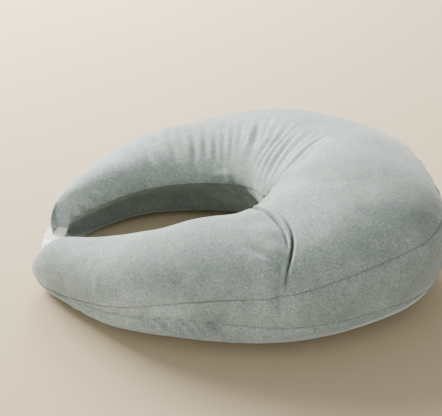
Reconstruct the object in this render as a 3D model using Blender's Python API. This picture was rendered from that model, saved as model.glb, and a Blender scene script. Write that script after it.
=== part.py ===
"""A small u-shaped pregnancy and nursing cushion with its slack white strap.

The cushion is one filled solid. Its plan is a horseshoe whose ends nearly meet, and an elastic
strap joins them. The near arm lies on the -Y side, the far arm on the +Y side, and the thick
back of the horseshoe on the +X side. Metres, +Z up, origin at the middle of the underside.
"""
from collections import namedtuple
from math import pi

import bmesh
import bpy
import numpy as np

# Cross sections, from the near tip round the back to the far tip. Each one is an upright cut
# from the outer edge of the horseshoe to the edge of its hole. The last number tells how full
# the foot is on the hole's side, as the power of its curve.
Section = namedtuple("Section", "outer_x outer_y inner_x inner_y height foot")
SECTIONS = (
    Section(-0.245, -0.085, -0.206, -0.050, 0.063, 2.9),
    Section(-0.143, -0.171, -0.125, -0.072, 0.090, 2.9),
    Section(-0.045, -0.200, -0.056, -0.071, 0.117, 2.9),
    Section(0.048, -0.209, 0.000, -0.062, 0.123, 2.9),
    Section(0.142, -0.184, 0.022, -0.048, 0.138, 2.9),
    Section(0.224, -0.126, 0.033, -0.032, 0.148, 2.8),
    Section(0.240, -0.024, 0.034, -0.023, 0.149, 2.6),
    Section(0.215, 0.083, 0.028, -0.015, 0.142, 2.3),
    Section(0.136, 0.159, 0.021, 0.005, 0.132, 2.1),
    Section(0.043, 0.206, 0.004, 0.034, 0.114, 2.25),
    Section(-0.060, 0.194, -0.044, 0.057, 0.097, 2.8),
    Section(-0.162, 0.131, -0.125, 0.047, 0.085, 2.5),
    Section(-0.235, 0.007, -0.201, 0.002, 0.068, 2.0),
)
LAST = len(SECTIONS) - 1

# Roundness of a cross section: superellipse powers above and below its widest height
CROWN_POWER = 2.2
UNDERSIDE_POWER = 2.9
WIDEST_SHARE = 0.5          # widest height, as a share of the full height
FLATTENING = 1.05           # the underside would reach this far past the floor, and is cut flat

# Blunt rounded ends of the arms
TIP_LENGTH = 0.055          # stretch over which an arm narrows
TIP_CROWN = 0.034           # stretch over which its height comes down to the end seam
TIP_POWER = 2.8
TIP_WIDTH = 0.60            # share of the width left at the end seam
TIP_HEIGHT = 0.10           # share of the height left at the end seam
TIP_SEAM_SHARE = 0.40       # height of the end seam, as a share of the full height

# Sewn seams, as heights in shares of the full height. The side band tapers towards both tips.
BAND_MIDDLE = 0.52
BAND_MIDDLE_AT_TIP = 0.15
BAND_RISE = 0.27            # how soon the band climbs from the tips
BAND_HALF = 0.254
BAND_HALF_AT_TIP = 0.006
BAND_TAPER = 1.35
INNER_SEAM_UPPER = 0.60
INNER_SEAM_LOWER = 0.10
INNER_SEAM_LOWER_AT_TIP = 0.16
WALL_HOLLOW = 0.010         # how far the hole's wall is drawn in between its two seams
SEAM_DEPTH = 0.0026
SEAM_HALF_WIDTH = 0.004

# Creases pressed into the cloth, as straight runs between two places. A place is the section
# number, counted from 0 at the near tip, and the share of the panel's width. Each run has a
# depth at either end and the half width of its trough.
Crease = namedtuple("Crease", "panel section across section_end across_end depth depth_end width")
CREASES = (
    # the deep fold where the near arm meets the back
    Crease("top", 3.47, 0.95, 3.40, 0.84, 0.003, 0.007, 0.0060),
    Crease("top", 3.40, 0.84, 3.31, 0.64, 0.007, 0.012, 0.0060),
    Crease("top", 3.31, 0.64, 3.32, 0.42, 0.012, 0.014, 0.0062),
    Crease("top", 3.32, 0.42, 3.23, 0.24, 0.014, 0.014, 0.0065),
    Crease("top", 3.23, 0.24, 3.10, 0.14, 0.014, 0.007, 0.0070),
    Crease("top", 3.10, 0.14, 3.00, 0.00, 0.007, 0.001, 0.0080),
    Crease("top", 3.04, 0.18, 2.70, 0.33, 0.003, 0.001, 0.0080),
    # puckers of the far arm, which fan out from the hole
    Crease("top", 7.02, 0.55, 6.55, 0.73, 0.0025, 0.0045, 0.0055),
    Crease("top", 6.55, 0.73, 6.15, 0.80, 0.0045, 0.0010, 0.0060),
    Crease("top", 7.72, 0.62, 7.20, 0.87, 0.0030, 0.0020, 0.0060),
    Crease("top", 8.12, 0.55, 8.22, 0.82, 0.0025, 0.0040, 0.0060),
    Crease("top", 8.87, 0.42, 8.83, 0.70, 0.0035, 0.0040, 0.0065),
    Crease("top", 9.14, 0.50, 9.15, 0.70, 0.0020, 0.0015, 0.0060),
    Crease("top", 9.36, 0.50, 9.35, 0.74, 0.0025, 0.0020, 0.0060),
    Crease("top", 9.54, 0.54, 9.51, 0.78, 0.0025, 0.0020, 0.0060),
    Crease("top", 10.04, 0.58, 10.05, 0.78, 0.0015, 0.0025, 0.0065),
    Crease("top", 10.36, 0.44, 10.34, 0.70, 0.0015, 0.0020, 0.0065),
)
RIDGE_HEIGHT = 0.004        # swell of the arm's rounded end beside the deep fold
RIDGE_OFFSET = 0.22         # its distance from the fold, in sections
RIDGE_WIDTH = 0.016

# How finely each panel is divided across, its two seam edges included
PANEL_STEPS = {"top": 14, "inner": 5, "bottom": 10, "outer": 6}
TIP_ROWS = 8
ROW_STEPS = ((2.9, 0.125), (3.55, 0.0375), (6.0, 0.125), (10.5, 0.1), (LAST, 0.125))

# The elastic strap that joins the tips
STRAP_THICKNESS = 0.0016
STRAP_GAP = 0.0003          # clear of each end seam
STRAP_INNER_SHARE = 0.96    # how far its ends reach along the end seams, in half lengths
STRAP_NEAR_SHARE = 0.20
STRAP_FAR_SHARE = 0.96
STRAP_INNER_LEAD = 0.008    # how far each edge keeps on straight out of its end seam
STRAP_NEAR_LEAD = 0.006     # the same for the slack outer edge, by either tip
STRAP_FAR_LEAD = 0.012
STRAP_FAR_FLARE = 0.021     # how far this edge swings sideways by the far tip
STRAP_SAG_INNER = 0.002
STRAP_SAG_OUTER = 0.006
STRAP_ROWS = 24
STRAP_COLUMNS = 6

FABRIC_COLOUR = (0.25, 0.29, 0.28, 1.0)
STRAP_COLOUR = (0.86, 0.85, 0.82, 1.0)


def spline(places):
    """Read the section table at any places along it, by a natural cubic through its rows."""
    rows = np.array(SECTIONS, float)
    count = len(rows)
    system = np.eye(count)
    known = np.zeros_like(rows)
    for i in range(1, count - 1):
        system[i, i - 1:i + 2] = 1, 4, 1
        known[i] = 6 * (rows[i + 1] - 2 * rows[i] + rows[i - 1])
    bend = np.linalg.solve(system, known)
    i = np.clip(np.floor(places).astype(int), 0, count - 2)
    t = (places - i)[:, None]
    s = 1 - t
    curve = s * rows[i] + t * rows[i + 1]
    return curve + ((s ** 3 - s) * bend[i] + (t ** 3 - t) * bend[i + 1]) / 6


def travel():
    """Places along the table, and the length of the middle line up to each of them."""
    places = np.linspace(0, LAST, 801)
    rows = spline(places)
    middle = (rows[:, :2] + rows[:, 2:4]) / 2
    steps = np.linalg.norm(np.diff(middle, axis=0), axis=1)
    return places, np.concatenate([[0], np.cumsum(steps)])


def closing(places, stretch=TIP_LENGTH):
    """How far the arm is open at each place: 1 along the arm, 0 at the end seam."""
    along, length = travel()
    here = np.interp(places, along, length)
    to_tip = np.minimum(here, length[-1] - here)
    closed = np.clip(1 - to_tip / stretch, 0, 1)
    return (1 - closed ** TIP_POWER) ** (1 / TIP_POWER)


def form(places, angles):
    """Points of the filled form: one row of angles round the section for each place."""
    rows = spline(places)
    crown = closing(places, TIP_CROWN)[:, None]
    wide = TIP_WIDTH + (1 - TIP_WIDTH) * closing(places)[:, None]
    tall = (TIP_HEIGHT + (1 - TIP_HEIGHT) * crown) * rows[:, 4:5]
    level = (TIP_SEAM_SHARE + (WIDEST_SHARE - TIP_SEAM_SHARE) * crown) * rows[:, 4:5]
    c, s = np.cos(angles), np.sin(angles)
    under = np.where(c >= 0, UNDERSIDE_POWER, rows[:, 5:6])
    power = np.where(s >= 0, CROWN_POWER, under)
    radius = (np.abs(c) ** power + np.abs(s) ** power) ** (-1 / power)
    c, s = c * radius, s * radius
    middle = (rows[:, :2] + rows[:, 2:4]) / 2
    half = (rows[:, :2] - rows[:, 2:4]) / 2
    plan = middle[:, None] + half[:, None] * (wide * c)[..., None]
    reach = np.where(s >= 0, 1 - WIDEST_SHARE, WIDEST_SHARE * FLATTENING)
    height = level + reach * tall * s
    return np.concatenate([plan, np.maximum(height, 0)[..., None]], axis=-1)


def seam_angle(share, side, foot=UNDERSIDE_POWER):
    """Angle round the section of a height share, on the outer (1) or the inner (-1) side."""
    reach = np.where(share >= WIDEST_SHARE, 1 - WIDEST_SHARE, WIDEST_SHARE * FLATTENING)
    up = (share - WIDEST_SHARE) / reach
    power = np.where(up >= 0, CROWN_POWER, foot)
    out = (1 - np.abs(up) ** power) ** (1 / power)
    angle = np.arctan2(up, side * out)
    return np.mod(angle, 2 * pi) if side < 0 else angle


def panel_edges(places):
    """First and last angle of each panel, in the order round the section."""
    swell = np.sin(pi * places / LAST)
    middle = BAND_MIDDLE_AT_TIP + (BAND_MIDDLE - BAND_MIDDLE_AT_TIP) * np.tanh(swell / BAND_RISE)
    half = BAND_HALF_AT_TIP + BAND_HALF * swell ** BAND_TAPER
    drop = (INNER_SEAM_LOWER_AT_TIP - INNER_SEAM_LOWER) * swell ** 0.6
    outer_upper = seam_angle(middle + half, 1)
    outer_lower = seam_angle(middle - half, 1)
    inner_upper = seam_angle(INNER_SEAM_UPPER + 0 * swell, -1)
    inner_lower = seam_angle(INNER_SEAM_LOWER_AT_TIP - drop, -1, spline(places)[:, 5])
    return {
        "top": (outer_upper, inner_upper),
        "inner": (inner_upper, inner_lower),
        "bottom": (inner_lower, outer_lower + 2 * pi),
        "outer": (outer_lower, outer_upper),
    }


def panel_angles(places, panel):
    """Angles of a panel's rows, its last seam left to the next panel, spaced by real length."""
    first, last = panel_edges(places)[panel]
    shares = np.linspace(0, 1, 41)
    angles = first[:, None] + (last - first)[:, None] * shares
    points = form(places, angles)
    steps = np.linalg.norm(np.diff(points, axis=1), axis=2)
    count = PANEL_STEPS[panel]
    rows = []
    for row, row_steps in zip(angles, steps):
        length = np.concatenate([[0], np.cumsum(row_steps)])
        guard = min(SEAM_HALF_WIDTH, length[-1] / count)
        inside = np.linspace(guard, length[-1] - guard, count - 1)
        rows.append(np.interp(np.concatenate([[0], inside]), length, row))
    return np.array(rows)


def row_places():
    """Places of the rings: close together in the rounded tips and across the deep fold."""
    along, length = travel()
    turn = np.linspace(0, pi / 2, TIP_ROWS + 1)[:-1]
    tip = TIP_LENGTH * (1 - np.cos(turn))
    near = np.interp(tip, length, along)
    far = np.interp(length[-1] - tip, length, along)[::-1]
    start = np.interp(TIP_LENGTH, length, along)
    stop = np.interp(length[-1] - TIP_LENGTH, length, along)
    places = []
    here = start
    for limit, step in ROW_STEPS:
        limit = min(limit, stop)
        count = max(1, round((limit - here) / step))
        places.extend(np.linspace(here, limit, count, endpoint=False))
        here = limit
    return np.concatenate([near, places, [stop], far])


def normals(points):
    """Outward direction at each point of the closed grid of rings."""
    along = np.gradient(points, axis=0)
    across = np.roll(points, -1, axis=1) - np.roll(points, 1, axis=1)
    out = np.cross(along, across)
    return out / np.maximum(np.linalg.norm(out, axis=2, keepdims=True), 1e-9)


def place_on_panel(panel, section, across):
    """A point of the form, from a section number and a share of a panel's width."""
    place = np.array([section])
    first, last = panel_edges(place)[panel]
    return form(place, (first + (last - first) * across)[:, None])[0, 0]


def gap_to_run(points, panel, start, end, first=0.0, last=0.0):
    """Distance of each point to a run over the form, and a value that changes along the run."""
    shares = np.linspace(0, 1, 9)
    run = [place_on_panel(panel, *(np.array(start) * (1 - t) + np.array(end) * t)) for t in shares]
    nearest = np.full(points.shape[:2], np.inf)
    value = np.zeros(points.shape[:2])
    for a, b, share in zip(run[:-1], run[1:], shares):
        line = b - a
        t = np.clip(((points - a) @ line) / (line @ line), 0, 1)
        gap = np.linalg.norm(points - a - t[..., None] * line, axis=2)
        here = first + (last - first) * (share + t * shares[1])
        value = np.where(gap < nearest, here, value)
        nearest = np.minimum(nearest, gap)
    return nearest, value


def press_creases(points):
    """Lower the cloth along each crease, and swell the arm's end beside the deep fold."""
    depth = np.zeros(points.shape[:2])
    for crease in CREASES:
        start = (crease.section, crease.across)
        end = (crease.section_end, crease.across_end)
        gap, deep = gap_to_run(points, crease.panel, start, end, crease.depth, crease.depth_end)
        depth = np.maximum(depth, deep * np.exp(-(gap / crease.width) ** 1.5))
    head, foot = CREASES[1], CREASES[3]
    start = (head.section - RIDGE_OFFSET, head.across)
    end = (foot.section_end - RIDGE_OFFSET, foot.across_end)
    gap, _ = gap_to_run(points, "top", start, end)
    swell = RIDGE_HEIGHT * np.exp(-(gap / RIDGE_WIDTH) ** 2)
    return points + normals(points) * (swell - depth)[..., None]


def pillow_points():
    """Rings of the cushion, with its seams drawn in and its creases pressed in."""
    places = row_places()
    angles = [panel_angles(places, panel) for panel in PANEL_STEPS]
    points = form(places, np.concatenate(angles, axis=1))
    out = normals(points)
    seams = np.cumsum([0] + list(PANEL_STEPS.values()))[:-1]
    depth = SEAM_DEPTH * closing(places)
    points[:, seams] -= out[:, seams] * depth[:, None, None]
    count = PANEL_STEPS["inner"]
    wall = slice(seams[1], seams[1] + count)
    hollow = np.outer(closing(places), WALL_HOLLOW * np.sin(pi * np.arange(count) / count) ** 0.8)
    points[:, wall] -= out[:, wall] * hollow[..., None]
    points = press_creases(points)
    points[..., 2] = np.maximum(points[..., 2], 0)
    return points


def make_object(name, mesh, colour, roughness):
    """Link a mesh as a named object with its own material."""
    material = bpy.data.materials.new(name + "_fabric")
    material.use_nodes = True
    shader = material.node_tree.nodes["Principled BSDF"]
    shader.inputs["Base Color"].default_value = colour
    shader.inputs["Roughness"].default_value = roughness
    shader.inputs["Metallic"].default_value = 0.0
    mesh.materials.append(material)
    mesh.shade_smooth()
    obj = bpy.data.objects.new(name, mesh)
    bpy.context.scene.collection.objects.link(obj)
    return obj


def make_pillow(points, shift):
    """Join the rings into one closed skin, with a fan of faces over each end seam."""
    bm = bmesh.new()
    rings = [[bm.verts.new(p + shift) for p in ring] for ring in points]
    for ring, following in zip(rings[:-1], rings[1:]):
        for i in range(len(ring)):
            j = (i + 1) % len(ring)
            bm.faces.new((ring[i], ring[j], following[j], following[i]))
    for ring in (rings[0], rings[-1]):
        middle = bm.verts.new(sum((v.co for v in ring), rings[0][0].co * 0) / len(ring))
        for i in range(len(ring)):
            bm.faces.new((ring[i], ring[(i + 1) % len(ring)], middle))
    bmesh.ops.recalc_face_normals(bm, faces=bm.faces)
    mesh = bpy.data.meshes.new("pillow")
    bm.to_mesh(mesh)
    bm.free()
    return make_object("pillow", mesh, FABRIC_COLOUR, 0.9)


def end_seam(place, is_far):
    """Inner and outer end of the strap's seam on a tip, and the level direction out of the arm."""
    row = spline(np.array([place]))[0]
    outer, inner = row[:2], row[2:4]
    middle = (outer + inner) / 2
    half = (outer - inner) / 2 * TIP_WIDTH
    out = np.array([half[1], -half[0]]) * (-1 if is_far else 1)
    out /= np.linalg.norm(out)
    height = [row[4] * TIP_SEAM_SHARE]
    sides = (-STRAP_INNER_SHARE, STRAP_FAR_SHARE if is_far else STRAP_NEAR_SHARE)
    ends = [np.concatenate([middle + side * half + out * STRAP_GAP, height]) for side in sides]
    return ends[0], ends[1], np.append(out, 0.0)


def strap_edge(start, start_lead, end, end_lead, sag):
    """A slack edge that leaves one end seam, bows out and enters the other, hanging down."""
    t = np.linspace(0, 1, STRAP_ROWS + 1)[:, None]
    s = 1 - t
    curve = s ** 3 * start + 3 * s * s * t * (start + start_lead)
    curve = curve + 3 * s * t * t * (end + end_lead) + t ** 3 * end
    return curve - np.sin(pi * t) ** 2 * np.array([0, 0, sag])


def strap_edges():
    """The strap's two long edges, each slack between the two end seams."""
    near_inner, near_outer, near_out = end_seam(0.0, False)
    far_inner, far_outer, far_out = end_seam(float(LAST), True)
    far_side = (far_outer - far_inner) / np.linalg.norm(far_outer - far_inner)
    inner = strap_edge(near_inner, near_out * STRAP_INNER_LEAD,
                       far_inner, far_out * STRAP_INNER_LEAD, STRAP_SAG_INNER)
    outer = strap_edge(near_outer, near_out * STRAP_NEAR_LEAD,
                       far_outer, far_out * STRAP_FAR_LEAD + far_side * STRAP_FAR_FLARE,
                       STRAP_SAG_OUTER)
    return inner, outer


def make_strap(inner, outer, shift):
    """The strap as a thin sheet between its two edges, thickened to both sides."""
    bm = bmesh.new()
    rows = []
    for a, b in zip(inner, outer):
        shares = np.linspace(0, 1, STRAP_COLUMNS + 1)
        rows.append([bm.verts.new(a * (1 - s) + b * s + shift) for s in shares])
    for row, following in zip(rows[:-1], rows[1:]):
        for i in range(STRAP_COLUMNS):
            bm.faces.new((row[i], row[i + 1], following[i + 1], following[i]))
    bmesh.ops.recalc_face_normals(bm, faces=bm.faces)
    mesh = bpy.data.meshes.new("strap")
    bm.to_mesh(mesh)
    bm.free()
    strap = make_object("strap", mesh, STRAP_COLOUR, 0.8)
    solid = strap.modifiers.new("Thickness", "SOLIDIFY")
    solid.thickness = STRAP_THICKNESS
    solid.offset = 0.0
    return strap


def main():
    for obj in list(bpy.data.objects):
        bpy.data.objects.remove(obj, do_unlink=True)
    points = pillow_points()
    inner, outer = strap_edges()
    everything = np.concatenate([points.reshape(-1, 3), inner, outer])
    low, high = everything.min(axis=0), everything.max(axis=0)
    shift = np.array([-(low[0] + high[0]) / 2, -(low[1] + high[1]) / 2, 0.0])
    make_pillow(points, shift)
    make_strap(inner, outer, shift)


main()
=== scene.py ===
"""Looks of a small u-shaped pregnancy and nursing cushion of short-pile velvet.

The cover is one filled form with sewn seams, creases and puckers, and a slack white elastic
strap joins its tips. Metres, +Z up. The near arm lies on the -Y side, the back on the +X side.
"""
from collections import namedtuple
from math import cos, pi, radians, sin

import bpy
import numpy as np
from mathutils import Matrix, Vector, noise


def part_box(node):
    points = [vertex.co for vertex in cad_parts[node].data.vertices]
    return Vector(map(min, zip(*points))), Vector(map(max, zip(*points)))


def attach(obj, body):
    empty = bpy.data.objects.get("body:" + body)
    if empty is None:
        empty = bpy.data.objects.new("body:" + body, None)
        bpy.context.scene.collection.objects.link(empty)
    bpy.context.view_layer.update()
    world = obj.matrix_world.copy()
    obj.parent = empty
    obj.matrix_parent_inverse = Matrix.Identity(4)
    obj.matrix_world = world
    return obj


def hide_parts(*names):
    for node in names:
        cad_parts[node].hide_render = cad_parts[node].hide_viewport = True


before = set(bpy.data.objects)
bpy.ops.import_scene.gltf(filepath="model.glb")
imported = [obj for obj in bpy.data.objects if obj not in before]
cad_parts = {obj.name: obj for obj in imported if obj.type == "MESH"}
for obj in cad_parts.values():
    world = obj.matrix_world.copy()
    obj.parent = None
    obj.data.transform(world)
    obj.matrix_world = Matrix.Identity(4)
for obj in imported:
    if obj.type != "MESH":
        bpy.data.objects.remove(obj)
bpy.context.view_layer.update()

# ---------------------------------------------------------------- the form of the cushion
# Cross sections, from the near tip round the back to the far tip; the last number tells how
# full the foot is on the hole's side, as the power of its curve
Section = namedtuple("Section", "outer_x outer_y inner_x inner_y height foot")
SECTIONS = (
    Section(-0.245, -0.085, -0.206, -0.050, 0.063, 2.9),
    Section(-0.143, -0.171, -0.125, -0.072, 0.090, 2.9),
    Section(-0.045, -0.200, -0.056, -0.071, 0.117, 2.9),
    Section(0.048, -0.209, 0.000, -0.062, 0.123, 2.9),
    Section(0.142, -0.184, 0.022, -0.048, 0.138, 2.9),
    Section(0.224, -0.126, 0.033, -0.032, 0.148, 2.8),
    Section(0.240, -0.024, 0.034, -0.023, 0.149, 2.6),
    Section(0.215, 0.083, 0.028, -0.015, 0.142, 2.3),
    Section(0.136, 0.159, 0.021, 0.005, 0.132, 2.1),
    Section(0.043, 0.206, 0.004, 0.034, 0.114, 2.25),
    Section(-0.060, 0.194, -0.044, 0.057, 0.097, 2.8),
    Section(-0.162, 0.131, -0.125, 0.047, 0.085, 2.5),
    Section(-0.235, 0.007, -0.201, 0.002, 0.068, 2.0),
)
LAST = len(SECTIONS) - 1
TRAVEL_STEPS = 800          # steps in which the length of the middle line is measured
CROWN_POWER = 2.2
UNDERSIDE_POWER = 2.9
WIDEST_SHARE = 0.5
FLATTENING = 1.05

# Blunt rounded ends of the arms
TIP_LENGTH = 0.055          # stretch over which an arm narrows
TIP_CROWN = 0.034           # stretch over which its height comes down to the end seam
TIP_POWER = 2.8
TIP_WIDTH = 0.60            # share of the width left at the end seam
TIP_HEIGHT = 0.10           # share of the height left at the end seam
TIP_SEAM_SHARE = 0.40       # height of the end seam, as a share of the full height

# Sewn seams, as heights in shares of the full height
BAND_MIDDLE = 0.52
BAND_MIDDLE_AT_TIP = 0.15
BAND_RISE = 0.27
BAND_HALF = 0.254
BAND_HALF_AT_TIP = 0.006
BAND_TAPER = 1.35
BAND_BACK_DROP = 0.055      # how much lower its upper seam runs round the back
BAND_BACK_POWER = 12        # how short that stretch is
INNER_SEAM_UPPER = 0.60
INNER_SEAM_LOWER = 0.10
INNER_SEAM_LOWER_AT_TIP = 0.16
INNER_SEAM_POWER = 0.6

# ---------------------------------------------------------------- the cover's mesh
PANEL_NAMES = ("top", "inner", "bottom", "outer")
FINE_COLUMNS = (104, 34, 50, 36)
FINE_ROWS = 372
FINE_TIP_ROWS = 24
PANEL_STEPS = 60            # steps in which the width of a panel is measured
SEAM_CLOSENESS = 0.62       # how much closer the columns lie by a seam

# Rows lie closer by the deep fold and by the puckers under the near arm's lower seam: the
# section number, the spread and how many more rows there are
CLOSER_ROWS = ((3.3, 0.24, 5.0), (1.95, 0.45, 1.1))

# The CAD model's place is found with a coarse grid of the plain form
PLAIN_COLUMNS = (40, 12, 20, 14)
PLAIN_ROWS = 60
PLAIN_TIP_ROWS = 10

# The end seam of a tip is a slit: each ring has its share of the height, and how deep it lies
SLIT_RINGS = ((0.62, 0.0004), (0.28, 0.0014), (0.04, 0.0032))
SLIT_WIDTH = 0.985          # share of the end ring's width that it has

# ---------------------------------------------------------------- cloth simulation
SIM_COLUMNS = (46, 14, 26, 16)
SIM_ROWS = 150
SIM_TIP_ROWS = 6
SIM_FRAMES = 20
SIM_QUALITY = 5
SIM_PRESSURE = 4.0
SIM_SHRINK = -0.03          # below 0: the panels are cut this much larger than the form
SIM_CAP = 0.0035            # a point moves less than this
SIM_SMOOTHING = 26          # rounds of smoothing that leave the broad swell, which isn't kept
SIM_SOFTENING = 3           # rounds of smoothing of the ripples on the fine mesh
SIM_KEPT = 0.55             # share of the ripples that is kept
SIM_TIP_FADE = 0.11         # they fade out over this stretch at either tip
SIM_CALM = 0.9              # and round the hole's tight end, where they would pile up
SIM_CALM_PLACE = 8.4
SIM_CALM_REACH = 1.1

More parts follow.
